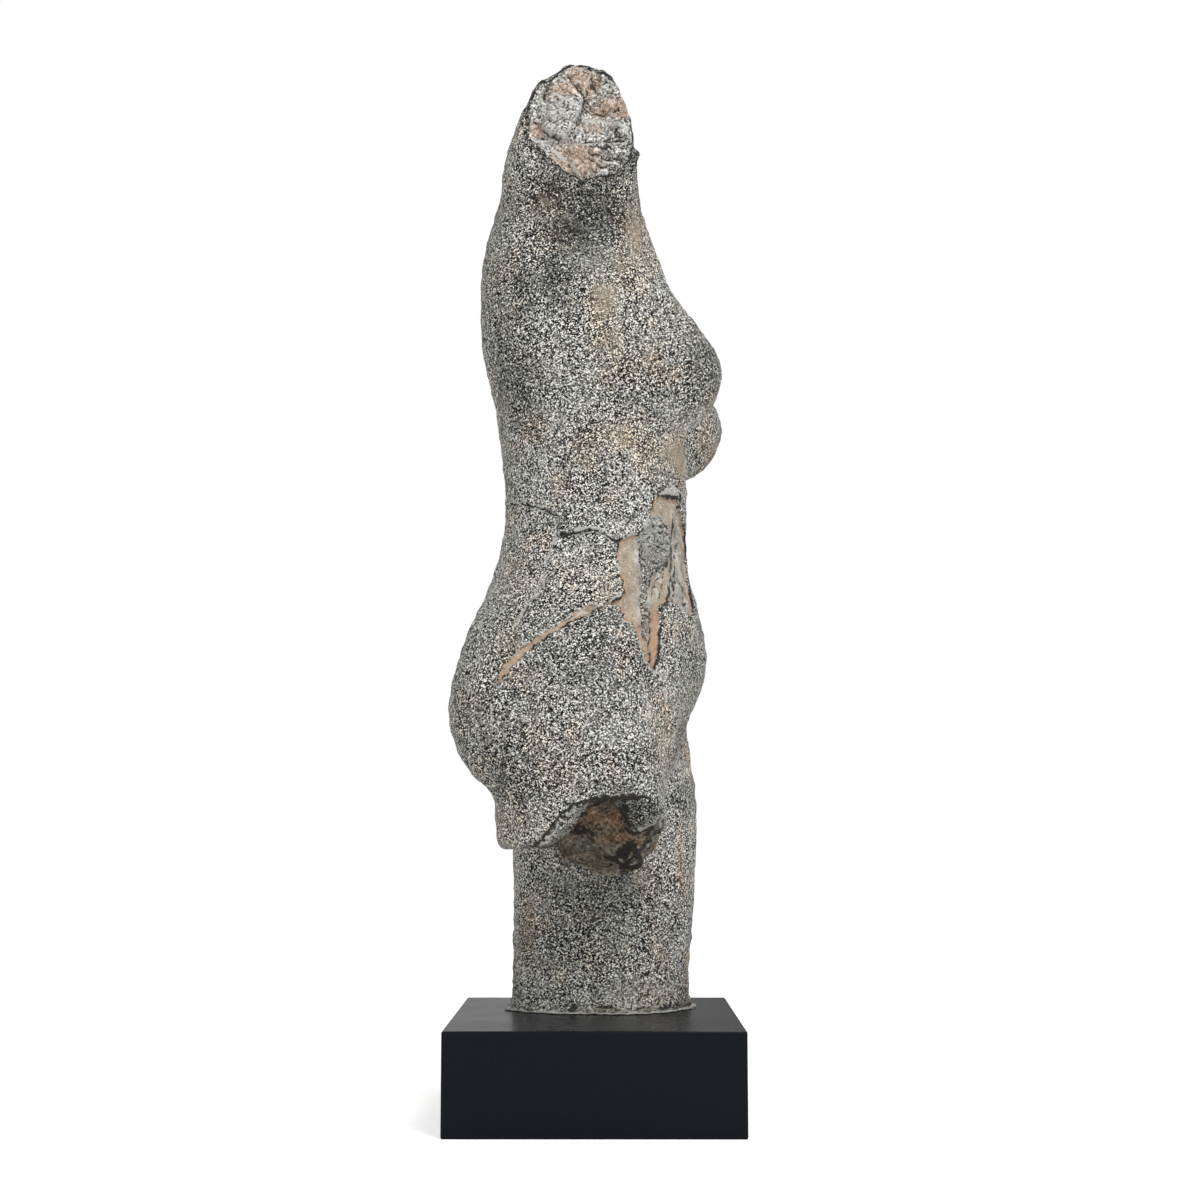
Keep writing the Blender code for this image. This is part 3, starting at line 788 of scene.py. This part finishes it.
def makeTorso(sizes):
    piece = evenMesh("torso", "torsoCast", sizes["spacing"])
    mesh = piece.data
    points, normals, edges = readPoints(mesh), readNormals(mesh), readEdges(mesh)
    # Facets go, creases stay
    writePoints(mesh, relax(points, edges, 6))
    bend = np.degrees(np.arccos(np.clip((readNormals(mesh) * normals).sum(1), -1, 1)))
    crease = relax(ease(*sizes["creaseAngles"], bend), edges, 2)
    seat = (points[:, 2] < sizes["seatHeight"]).astype(float)
    hold = np.maximum(np.clip(crease * 1.3, 0, 1), seat)
    points = relax(points, edges, sizes["facetRounds"], 0.5, hold)
    # The cast step round the bare patch and the wide crack is filled, smoothed and cut again, finer
    x, y, z = points.T
    patch = spallDepthIn(points)
    crack = np.where(y < -20, 2.6 - fromLine(x, z, wideCrack), -20)
    cut = np.maximum(sizes["skinThickness"] * ease(-1.6, 2.2, patch), 4 * ease(-2, 2, crack))
    outward = evenNormals(normals, edges, 10)
    band = ease(-9, -4, np.maximum(patch, crack)) * (1 - seat)
    writePoints(mesh, relax(points + outward * cut[:, None], edges, sizes["fillRounds"], 0.5, 1 - band))
    for reach in (sizes["fineBand"], sizes["finestBand"]):
        splitNear(mesh, nearDrawing(readPoints(mesh), readNormals(mesh), reach))
    points, edges = readPoints(mesh), readEdges(mesh)
    points = relax(points, edges, 2, 0.4, (points[:, 2] < sizes["seatHeight"]).astype(float))
    # The arm's broken top is raised, up to just under the casting's highest point
    x, y, z = points.T
    rise = np.interp(x, *np.array(armTopRise, float).T) * ease(618, 655, z) * ease(-45, -78, y)
    top = cadBox[1][2] * millimetres - standHeight - sizes["topClearance"]
    points[:, 2] = np.where(rise > 0, np.minimum(z + rise, np.maximum(z, top)), z)
    print("torso mesh", len(mesh.vertices), "points")
    return piece, points, edges


def softSpots(points, spots):
    # The strongest of a list of soft round spots, as the figure's right side shows them
    x, y, z = points.T
    strength = np.zeros(len(points))
    for cx, cz, width, height, most in spots:
        strength = np.maximum(strength, most * np.exp(-(((x - cx) / width) ** 2) - ((z - cz) / height) ** 2))
    return strength


def brokenRelief(points):
    # Crests and scoops of broken stone, mostly inwards
    relief = 1.1 - 1.5 * np.abs(waves(points, 24, 61)) - np.abs(waves(points, 10, 62))
    relief = relief + 0.35 * chips(points, 9, 63)
    return relief - 0.5 * np.abs(waves(points, 4.2, 64)) + 0.16 * waves(points, 2.2, 65)


def startCarving(mesh, points, edges):
    # What the steps share: lift, dark and pale grow step by step, right is 1 where the surface faces the
    # drawn side, and jx and jz are the drawing's x and z, shifted a little at random
    writePoints(mesh, points)
    normals = readNormals(mesh)
    outward = evenNormals(normals, edges, 8)
    x, y, z = points.T
    turned = np.clip(-2 * outward[:, 1], 0.12, 1)
    jx = x + turned * (0.45 * waves(points, 5, 11) + 0.2 * waves(points, 2.4, 13))
    jz = z + 0.45 * waves(points, 5, 12) + 0.2 * waves(points, 2.4, 14)
    right = ease(10, 0, y) * ease(0.02, -0.32, outward[:, 1])
    notFront = ease(0.8, 0.45, outward[:, 0])
    lift, dark, pale = np.zeros((3, len(points)))
    return SimpleNamespace(
        points=points, edges=edges, normals=normals, outward=outward, right=right, notFront=notFront,
        jx=jx, jz=jz, moved=np.stack([jx, y, jz], axis=1), lift=lift, dark=dark, pale=pale, masks={},
    )


def darken(cast, amount):
    cast.dark = np.maximum(cast.dark, amount)


def whiten(cast, amount):
    cast.pale = np.maximum(cast.pale, amount)


def carveBreaks(cast, sizes):
    # Broken faces of the arms, neck and thigh
    points = cast.points
    x, y, z = points.T
    faces = {name: stumpMask(points, cast.normals, name) for name in stumps}
    faces["neck"] *= ease(-58, -46, y)
    armDepth = np.where(y < -70, depthIn(cast.jx, cast.jz, armFace), -30)
    faces["arm"] = ease(-0.5, 0.8, armDepth)
    thighDepth = depthIn(cast.jx, cast.jz, thighRimLine + thighFloor)
    thigh = np.maximum(ease(-0.8, 0.6, thighDepth), ease(-60, -50, y)) * thighMask(points, cast.normals)
    lump = ease(-1.5, 1.5, depthIn(cast.jx, cast.jz, thighLump)) * (y < -40)
    broken = np.maximum.reduce(list(faces.values()) + [thigh * (1 - lump)])
    chosen = (broken > 0.01) | (thigh > 0.01)
    relief = np.zeros(len(x))
    relief[chosen] = brokenRelief(points[chosen])
    awayFromRim = ease(0.35, 0.95, relax(broken, cast.edges, 14))
    awayFromRim = np.where((y < -60) & (z > 570), ease(0.5, 6, armDepth), awayFromRim)
    relief = np.clip(relief, -sizes["brokenScoop"], sizes["brokenCrest"]) * awayFromRim
    share = np.maximum(broken, thigh)
    cast.lift += share * relief
    # Darker in the hollows of the broken relief and paler on its crests: partly a dark wash and dry brushed
    # paint, partly painted shade and painted highlights
    bend = (relief - relax(relief, cast.edges, 5)) * share
    darken(cast, ease(-0.14, -0.5, bend) * 0.72 * (1 - 0.65 * thigh))
    whiten(cast, ease(0.08, 0.36, bend) * 0.85 * (1 - 0.6 * thigh))
    for knob, reach, rise in armSwells:
        cast.lift += rise * ease(reach, 0, np.linalg.norm(points - knob, axis=1))
    for line, reach, depth in armGrooves:
        away = fromLine(cast.jx, cast.jz, line)
        cast.lift -= depth * ease(2.4 * reach + 0.6, 0.2, away) * faces["arm"]
        darken(cast, ease(reach + 0.2, 0.2, away) * faces["arm"] * 0.85)
    for line, reach, rise in armCrests:
        away = fromLine(cast.jx, cast.jz, line)
        cast.lift += rise * ease(3.2 * reach, 0.3, away) * ease(-1, 1, armDepth)
        whiten(cast, ease(1.5 * reach, 0.3, away) * faces["arm"] * 0.9)
    cast.faces, cast.armDepth, cast.thighDepth = faces, armDepth, thighDepth
    cast.thigh, cast.lump = thigh, lump
    cast.masks["brokenFace"] = broken


def carvePatch(cast, sizes):
    # The bare patch at the waist: the skin's edge, the core's flakes and grooves, and a flap of skin over it
    points, jx, jz, right = cast.points, cast.jx, cast.jz, cast.right
    x, y, z = points.T
    patch = spallDepthIn(cast.moved)
    patchIn = ease(-0.35, 0.75, patch)
    islandDepth = depthIn(jx, jz, island)
    islandIn = ease(-0.6, 1.4, islandDepth) * patchIn * (y < -20)
    greyIn = ease(-1.2, 1.2, depthIn(jx, jz, greyCore)) * (y < 10)
    cast.lift -= sizes["skinThickness"] * patchIn * (1 - 0.7 * islandIn)
    curls = np.abs(waves(cast.moved, 7, 22)) - 0.6
    flakes = patchIn * 0.3 * waves(points, 9, 21) - 0.75 * curls * (islandIn + 0.35 * greyIn * patchIn)
    chosen = greyIn * patchIn > 0.01
    strips = np.zeros(len(x))
    strips[chosen] = chips(points[chosen], 7, 24) * 0.5
    flakes += greyIn * patchIn * np.clip(strips, -1.4, 1.4)
    cast.lift += flakes
    # Darker in the hollows of the core's flakes and paler on their crests: partly a dark wash and dry brushed
    # paint, partly painted shade and painted highlights
    folds = (flakes - relax(flakes, cast.edges, 6)) * ease(1, 3, patch) * np.maximum(islandIn, greyIn)
    darken(cast, ease(-0.06, -0.22, folds) * 0.62)
    whiten(cast, ease(0.06, 0.2, folds) * 0.75)
    for line, reach, depth in spallGrooves:
        away = np.where((y < 10) & (patch > -8), fromLine(jx, jz, line), 30)
        cast.lift -= depth * ease(reach + 0.7, 0.2, away) * right
        darken(cast, ease(reach + 0.35, 0.25, away) * 0.8 * ease(0.02, -0.45, cast.outward[:, 1]))
    # A dark line round the bare patch: painted shadow along the step where the skin ends
    rim = stripe(patch, -0.35, 1.1, 0.2) * ease(30, 10, y)
    darken(cast, rim * ease(-0.1, 0.6, waves(points, 16, 35) + 0.5) * 0.85)
    islandRim = stripe(islandDepth, -0.2, 0.9, 0.2) * patchIn * right
    darken(cast, islandRim * ease(40, 48, x) * 0.8)
    fan = ease(0, 1.6, np.where(y < 0, depthIn(jx, jz, fanOutline), -20))
    fanFlakes = ease(-0.1, 0.9, waves(np.stack([jx * 1.8, y * 0.6, jz * 0.55], axis=1), 6, 29))
    whiten(cast, fan * fanFlakes * ease(284, 294, z) * 0.9)
    cast.lift += 0.7 * fan * (fanFlakes - 0.5)
    flap = depthIn(jx, jz, topFlap)
    cast.lift += sizes["flapRise"] * ease(-0.5, 3, flap) * right
    whiten(cast, ease(-0.5, 1, flap) * right * 0.75)
    # Painted shadow round the flap's edge, under its curl
    darken(cast, stripe(flap, -0.5, 1.1, 0.2) * right * 0.9)
    edgeBrown = ease(3.4, 0.4, patch) * 0.8 + 0.35 * ease(285, 270, z) * ease(230, 240, z)
    islandNear = ease(-4.5, 0.5, islandDepth) * (y < -20) * patchIn
    cast.masks["bareStone"] = patchIn * (1 - islandIn)
    cast.masks["bareEdge"] = edgeBrown * patchIn
    cast.masks["greyCore"] = np.maximum(greyIn * (0.75 + 0.25 * waves(points, 9, 36)), islandNear * 0.9)
    cast.patch, cast.patchIn, cast.islandIn = patch, patchIn, islandIn


def carveCracks(cast, sizes):
    # The wide crack over the hip, with its lips, and the fine cracks
    points, jx, jz, masks = cast.points, cast.jx, cast.jz, cast.masks
    x, y, z = points.T

    def wideDepth(lower):
        # Distance into the wide crack, moved down by that much
        return np.where(y < -20, -fromLine(jx, jz + lower, wideCrackLine, wideCrackWidths), -20)

    wide = wideDepth(0)
    wideIn = ease(-0.45, 0.45, wide)
    cast.lift -= (sizes["wideCrackDepth"] + 0.5 * waves(points, 8, 25)) * wideIn
    masks["bareStone"] = np.maximum(masks["bareStone"], wideIn)
    brown = wideIn * (0.75 + 0.35 * waves(points, 10, 26)) * ease(0, -20, x)
    masks["bareEdge"] = np.maximum(masks["bareEdge"], brown)
    shadow = ease(-0.3, 0.3, wideDepth(1.3)) * ease(0.3, -0.4, wide)
    darken(cast, shadow * (0.92 + 0.35 * waves(points, 12, 27)))
    whiten(cast, ease(-0.3, 0.4, wideDepth(-1.4)) * ease(0.2, -0.4, wide) * 0.8)
    whiten(cast, wideIn * softSpots(points, wideCrackLobes))
    vein = np.where(y < -20, fromLine(jx, jz - 0.5, wideCrackLine), 30)
    whiten(cast, ease(0.7, 0.2, vein) * (0.55 + 0.35 * waves(points, 15, 28)))
    for line, dark, depth in fineCracks:
        away = np.where(y < 5, fromLine(jx, jz, line), 30)
        lip = np.where(y < 5, fromLine(jx, jz - 1.5, line), 30)
        keep = (1 - cast.patchIn) * (1 - wideIn) * (0.25 + 0.75 * cast.right)
        cast.lift -= sizes["fineCrackDepth"] * depth * ease(1.3, 0.2, away) * keep
        cast.lift += sizes["fineCrackLip"] * depth * ease(2, 0.3, lip) * keep
        darken(cast, dark * ease(1.25, 0.4, away + 0.3 * (1 + waves(points, 14, 31))) * keep)
        whiten(cast, ease(1.3, 0.4, lip) * (0.72 + 0.35 * waves(points, 14, 33)) * keep)
    patchLip = stripe(cast.patch, -1.1, 1.7, 0.4) * cast.right
    whiten(cast, patchLip * (0.42 + 0.4 * waves(points, 14, 34)))
    flecks = softSpots(points, paleFlecks) * cast.right
    whiten(cast, flecks)
    cast.lift += sizes["fleckRise"] * flecks


def carveRims(cast, sizes):
    # Rims of the thigh's and the arm's break, and the pits in the thigh's
    points, jx, jz, thigh, notFront = cast.points, cast.jx, cast.jz, cast.thigh, cast.notFront
    x, y, z = points.T
    turnedDown = (cast.outward[:, 2] < -0.3) & (y < -75)
    rimSide = (y < -62) & (z < 160) & ((cast.right > 0.3) | (thigh > 0.1) | turnedDown)

    def fromRim(line):
        return np.where(rimSide, fromLine(jx, jz, line), 30)

    rim, outerRim = np.minimum(fromRim(thighRimLine), fromRim(thighBackRim)), fromRim(thighOuterLine)
    rimTone = 0.45 + 0.35 * ease(-6, 2, x) + 0.35 * waves(points, 9, 39)
    darken(cast, ease(2.3, 0.9, rim) * rimTone * notFront)
    darken(cast, ease(1.9, 0.7, outerRim) * (0.92 + 0.3 * waves(points, 11, 55)) * notFront)
    bandIn = ease(-0.6, 1, depthIn(jx, jz, thighBand)) * rimSide * notFront
    streaked = waves(cast.moved * (1, 1, 1.2), 4.5, 56)
    cast.lift += bandIn * (0.35 * streaked - 0.9) - 0.8 * ease(2.2, 0.5, outerRim) * notFront
    whiten(cast, bandIn * ease(-0.5, 0.5, streaked) * 0.9)
    darken(cast, bandIn * ease(-0.5, -1.2, streaked) * 0.9)
    innerRim = stripe(rim, 4.2, 1.2, 0.3) * thigh * ease(118, 126, z)
    whiten(cast, innerRim * (0.5 + 0.4 * waves(points, 10, 40)))
    pits = softSpots(points, thighPits) * thigh
    cast.lift -= sizes["pitDepth"] * pits
    darken(cast, ease(0.35, 0.8, pits + 0.15 * waves(points, 3, 37)) * 0.95)
    lumpDepth = depthIn(jx, jz, thighLump)
    lumpRim = ease(-4, -1.6, lumpDepth) * ease(0.4, -0.8, lumpDepth) * (cast.thighDepth > 0) * (y < -66)
    darken(cast, lumpRim * notFront * (0.85 + 0.3 * waves(points, 7, 42)))
    cast.armRim = np.where(y < -60, -cast.armDepth, 30)
    darken(cast, stripe(cast.armRim, 0.4, 1, 0.3) * (0.72 + 0.3 * waves(points, 18, 38)))


def paintStains(cast):
    # Stains, burnt strokes in the hollow, dark and tan patches, painted shade round the arm's break and in
    # the thigh's low hollow, and where the grain is calm
    points, thigh, notFront, right, masks = cast.points, cast.thigh, cast.notFront, cast.right, cast.masks
    x, y, z = points.T
    farRust = np.maximum(cast.faces["farArm"], cast.faces["neck"]) * (0.35 + 0.3 * waves(points, 22, 41))
    masks["rustStain"] = np.maximum(softSpots(points, armRust + thighRust) * (y < -40), farRust)
    masks["burntHollow"] = thigh * (y < 10)
    burntDark = softSpots(points, thighDark) * thigh + 0.16 * thigh * waves(cast.moved, 3.6, 57)
    darken(cast, ease(0.25, 0.85, burntDark) * notFront * 0.85)
    for line, dark, reach in thighStrokes:
        away = fromLine(cast.jx, cast.jz, line)
        stroke = ease(reach + 0.7, reach * 0.4, away) * thigh * notFront * (y < -20)
        if dark > 0:
            darken(cast, stroke * dark)
        else:
            whiten(cast, -stroke * dark)
            cast.dark = cast.dark * (1 - stroke)
    # Painted shade in the low part of the thigh's hollow, with painted highlights along its ridges
    shadedLowHollow = thigh * ease(127, 113, z) * ease(4, 18, x) * notFront
    lowRidges = waves(points, 8, 44)
    darken(cast, shadedLowHollow * (0.34 + 0.4 * lowRidges))
    whiten(cast, shadedLowHollow * stripe(lowRidges, -0.2, 0.3, 0.05) * 0.95)
    # Painted shade on the skin round the arm's broken face, under its overhanging rim
    shadeRoundArmBreak = ease(7, 0.5, cast.armRim) * (cast.armRim > -1) * 0.8
    elsewhere = (1 - right) * ease(0, 1.6, waves(points, 60, 43)) * 0.35
    # Dark patches on the drawn side, partly painted shade
    clusters = softSpots(points, darkPatchesAndShade) * right
    # The dark wash mask: random darker tone and dark patches, with the painted shade round the arm's break
    # and in the low hollow
    masks["darkWash"] = np.maximum.reduce([clusters, shadeRoundArmBreak, elsewhere, cast.lump * 0.55, shadedLowHollow])
    drips = ease(0.5, 1.8, waves(points * (1, 1, 0.35), 34, 45)) * (1 - right) * 0.5
    masks["tanStain"] = np.maximum(softSpots(points, tanPatches) * right, drips)
    armFaceCalm = softSpots(points, armCalm) * cast.faces["arm"]
    skirt = ease(7, 2.5, z + 1.2 * waves(points, 12, 46))
    calm = softSpots(points, calmPatches) * right
    masks["calmSkin"] = np.maximum.reduce([calm, cast.islandIn * 0.9, armFaceCalm, skirt])


def carveSkin(cast, sizes):
    # The skin's own unevenness, and the folds and smears of the foot
    points = cast.points
    z = points[:, 2]
    skin = (1 - cast.masks["brokenFace"]) * (1 - cast.patchIn)
    for seed, (size, depth) in enumerate(sizes["unevenness"]):
        cast.lift += skin * depth * waves(points, size, 50 + seed)
    foot = ease(14, 4, z)
    cast.lift += 0.5 * foot * np.abs(waves(points * (1, 1, 2.5), 14, 47)) - 0.3 * foot
    swirls = waves(points * (1, 1, 1.7), 12, 52)
    cast.lift += sizes["footSwirls"] * ease(34, 12, z) * swirls
    # Pale crests and dark troughs on the foot's swirls: partly streaked tone, partly painted highlights and
    # painted shade
    folded = ease(34, 12, z) * ease(3, 6, z)
    whiten(cast, folded * stripe(swirls, 0.5, 0.2, 0.05) * 0.8)
    darken(cast, folded * stripe(swirls, -0.6, 0.2, 0.05) * 0.75)
    smear = stripe(z - 3.4, 0.8 * waves(points, 26, 48), 1.3, 0.4)
    darken(cast, smear * (0.35 + 0.5 * waves(points, 17, 49)))


def carveTorso(piece, points, edges, sizes):
    mesh = piece.data
    cast = startCarving(mesh, points, edges)
    for carve in (carveBreaks, carvePatch, carveCracks, carveRims):
        carve(cast, sizes)
    paintStains(cast)
    carveSkin(cast, sizes)
    seat = ease(0.6, 3, points[:, 2])
    points = points + cast.outward * (cast.lift * seat)[:, None]
    low, high = (np.array(corner) * millimetres - (0, 0, standHeight) for corner in cadBox)
    low[2] = 0
    writePoints(mesh, np.clip(points, low, high))
    for name, mask in cast.masks.items():
        writeMask(mesh, name, mask)
    writeMask(mesh, "paleEdge", cast.pale)
    writeMask(mesh, "darkLine", cast.dark)
    mesh.shade_smooth()
    print("torso triangles", sum(len(face.vertices) - 2 for face in mesh.polygons))


# The ring of filler: millimetres, the steps round the foot, and how strong each mask of the finish is
footFiller = {
    "height": 1.5,
    "reach": 6.5,
    "steps": 420,
    "masks": {"calmSkin": 0.8, "paleEdge": 0.62},
}


def makeFiller(torso, sizes):
    # The thin ragged run of filler on the plinth round the foot
    count = sizes["steps"]
    points = readPoints(torso.data)
    foot = points[points[:, 2] < 6]
    middle = (foot.min(0) + foot.max(0)) / 2
    turns = np.linspace(0, 2 * math.pi, count, endpoint=False)
    ways = np.stack([np.cos(turns), np.sin(turns), 0 * turns], axis=1)
    offset = foot - middle
    bearing = np.arctan2(offset[:, 1], offset[:, 0]) % (2 * math.pi)
    slot = (bearing / (2 * math.pi) * count).astype(int) % count
    edge = np.zeros(count)
    np.maximum.at(edge, slot, np.hypot(offset[:, 0], offset[:, 1]))
    for turn in range(20):
        beside = 0.5 * (np.roll(edge, 1) + np.roll(edge, -1))
        edge = np.maximum(edge, beside) if turn < 8 else 0.5 * (edge + beside)
    ring = ways * edge[:, None]
    ragged = np.clip(0.42 + 0.32 * waves(ring, 24, 71) + 0.15 * waves(ring, 10, 72), 0.1, 1) * sizes["reach"]
    rise = sizes["height"] * (0.8 + 0.25 * waves(ring, 9, 73))
    # How far out (millimetres inwards, or a share of the ragged reach) and how high each row of the ring is
    rows = [(-5, 1), (0.25, 1), (0.7, 0.85), (1, 0.5), (0.92, 0), (-5, 0)]
    layers = []
    for share, level in rows:
        out = edge + (share if share < 0 else share * ragged)
        across, along = (middle[k] + ways[:, k] * out for k in (0, 1))
        layers.append(np.stack([across, along, rise * level + 0.02 + standHeight], axis=1))
    placed = np.concatenate(layers)
    faces = []
    for row in range(len(rows)):
        here, below = row * count, (row + 1) % len(rows) * count
        for k in range(count):
            after = (k + 1) % count
            faces.append((here + k, below + k, below + after, here + after))
    mesh = bpy.data.meshes.new("footFiller")
    mesh.from_pydata((placed / millimetres).tolist(), [], faces)
    mesh.shade_smooth()
    for name, strength in sizes["masks"].items():
        writeMask(mesh, name, np.full(len(placed), strength))
    mesh.materials.append(weatheredStone)
    piece = addObject("footFiller", mesh)
    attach(piece, "root")


torso, torsoPoints, torsoEdges = makeTorso(castRelief)
carveTorso(torso, torsoPoints, torsoEdges, castRelief)
torso.data.materials.clear()
torso.data.materials.append(weatheredStone)
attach(torso, "root")
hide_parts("torso")
print("torso finished")
makeFiller(torso, footFiller)
print("filler finished")

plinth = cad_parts["plinth"]
for materialSlot in plinth.material_slots:
    materialSlot.material = blackLacquer
print("plinth finished")


def makeStudio(setup):
    world = bpy.data.worlds.new("whiteSurroundings")
    scene.world = world
    world.use_nodes = True
    tree = world.node_tree
    background = tree.nodes["Background"]
    background.inputs["Color"].default_value = (*setup["surroundings"], 1)
    seen = addNode(tree, "LightPath")["Is Camera Ray"]
    way = addNode(tree, "TexCoord")["Generated"]
    side, back, up = addNode(tree, "SeparateXYZ", {0: way})
    behind = times(tree, fade(tree, back, *setup["dimmerBack"]), fade(tree, up, *setup["dimmerHeight"]))
    behind = times(tree, behind, fade(tree, side, *setup["dimmerSide"]))
    around = lessen(tree, setup["surroundingsStrength"], behind, setup["dimmerBehind"])
    strength = blendValue(tree, seen, around, setup["lookStrength"])
    tree.links.new(strength, background.inputs["Strength"])
    half = setup["floorSize"] / 2
    mesh = bpy.data.meshes.new("studioFloor")
    corners = [(-half, -half, 0), (half, -half, 0), (half, half, 0), (-half, half, 0)]
    mesh.from_pydata(corners, [], [(0, 1, 2, 3)])
    floor = addObject("studioFloor", mesh)
    material, tree, shader = startMaterial("paleFloor")
    shader.inputs["Base Color"].default_value = (*setup["floorColour"], 1)
    shader.inputs["Roughness"].default_value = setup["floorRoughness"]
    shader.inputs["Emission Color"].default_value = (1, 1, 1, 1)
    seen = addNode(tree, "LightPath")["Is Camera Ray"]
    tree.links.new(times(tree, seen, setup["floorGlow"]), shader.inputs["Emission Strength"])
    mesh.materials.append(material)
    middle = Vector(setup["lampsAim"])
    for lamp in setup["lamps"]:
        light = bpy.data.lights.new(lamp["name"], "AREA")
        light.energy, light.size = lamp["watts"], lamp["size"]
        aim(addObject(lamp["name"], light, lamp["place"]), middle - Vector(lamp["place"]))


makeStudio(studio)
scene.view_settings.view_transform = "Standard"
print("studio made")
